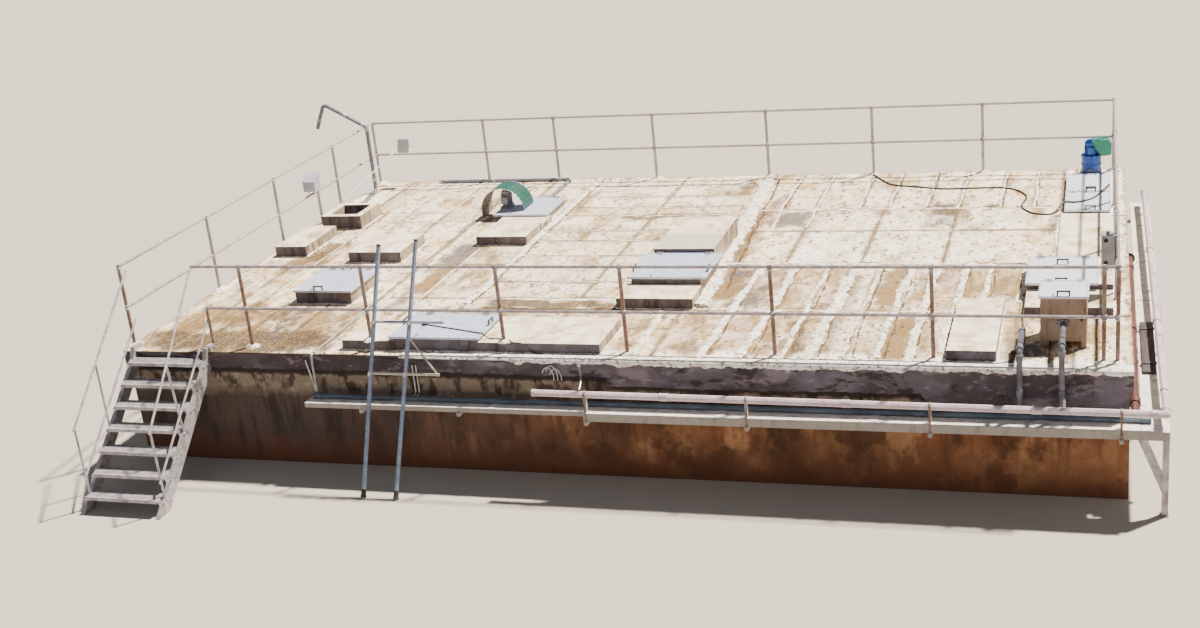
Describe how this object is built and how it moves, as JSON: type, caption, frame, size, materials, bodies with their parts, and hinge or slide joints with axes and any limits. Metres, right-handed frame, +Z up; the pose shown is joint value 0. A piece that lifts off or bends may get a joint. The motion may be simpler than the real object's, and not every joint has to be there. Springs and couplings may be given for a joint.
{
  "type": "biogas digester",
  "caption": "Concrete biogas digester tank with roof hatches, mixer, pit, railings, access stair and pipe runs",
  "frame": {"origin": "middle of the base of the whole part's box, on the ground", "axes": "+X runs to the right along the tank's long front, +Y away from the front to the back, +Z up"},
  "size_m": [12.5568, 8.9174, 2.8518],
  "materials": {
    "wall_concrete": "bare concrete, brown stained",
    "roof_concrete": "bare concrete, weathered pale",
    "slab_concrete": "bare concrete",
    "rail_steel": "weathered light paint with rust",
    "stair_steel": "weathered grey",
    "lid_steel": "dull stainless",
    "trunking_steel": "satin light grey",
    "green_sheet": "faded teal",
    "blue_paint": "satin",
    "grey_plastic": "satin",
    "pale_plastic": "satin",
    "red_plastic": "faded",
    "black_plastic": "dull",
    "grey_casing": "satin",
    "beige_casing": "weathered"
  },
  "bodies": {
    "root": {"front_wall": "wall_concrete", "back_wall": "wall_concrete", "left_wall": "wall_concrete", "right_wall": "wall_concrete", "tank_floor": "wall_concrete", "roof_left": "roof_concrete", "roof_right": "roof_concrete", "pit_curb": "slab_concrete", "front_railing": "rail_steel", "back_railing": "rail_steel", "left_railing": "rail_steel", "right_railing": "rail_steel", "stair_right_side": "stair_steel", "stair_left_side": "stair_steel", "stair_tread_1": "stair_steel", "stair_tread_2": "stair_steel", "stair_tread_3": "stair_steel", "stair_tread_4": "stair_steel", "stair_tread_5": "stair_steel", "stair_tread_6": "stair_steel", "stair_tread_7": "stair_steel", "leaning_ladder": "stair_steel", "left_hatch_curb": "slab_concrete", "left_hatch_lid": "lid_steel", "raised_slab": "slab_concrete", "edge_slab": "slab_concrete", "vent_riser": "grey_plastic", "junction_box": "pale_plastic", "floodlight": "pale_plastic", "mixer_plinth": "slab_concrete", "mixer_lid": "lid_steel", "mixer_motor": "grey_casing", "rain_cover": "green_sheet", "roof_edge_pipe": "grey_plastic", "middle_platform": "slab_concrete", "middle_lid": "lid_steel", "front_platform": "slab_concrete", "front_lid": "lid_steel", "back_hatch_curb": "slab_concrete", "back_hatch_lid_1": "lid_steel", "back_hatch_lid_2": "lid_steel", "blower": "blue_paint", "control_box": "grey_casing", "right_platform": "slab_concrete", "right_lid": "lid_steel", "dosing_cabinet": "beige_casing", "dosing_cabinet_lid": "lid_steel", "corner_slab": "slab_concrete", "front_trunking": "trunking_steel", "side_trunking": "trunking_steel", "trunking_leg": "trunking_steel", "front_pipe": "pale_plastic", "side_pipe": "pale_plastic", "grey_front_pipe": "grey_plastic", "red_pipe": "red_plastic", "outlet_pipe_1": "grey_plastic", "outlet_pipe_2": "grey_plastic", "roof_conduit": "pale_plastic", "black_roof_pipe": "black_plastic", "front_cable": "black_plastic"}
  },
  "joints": []
}
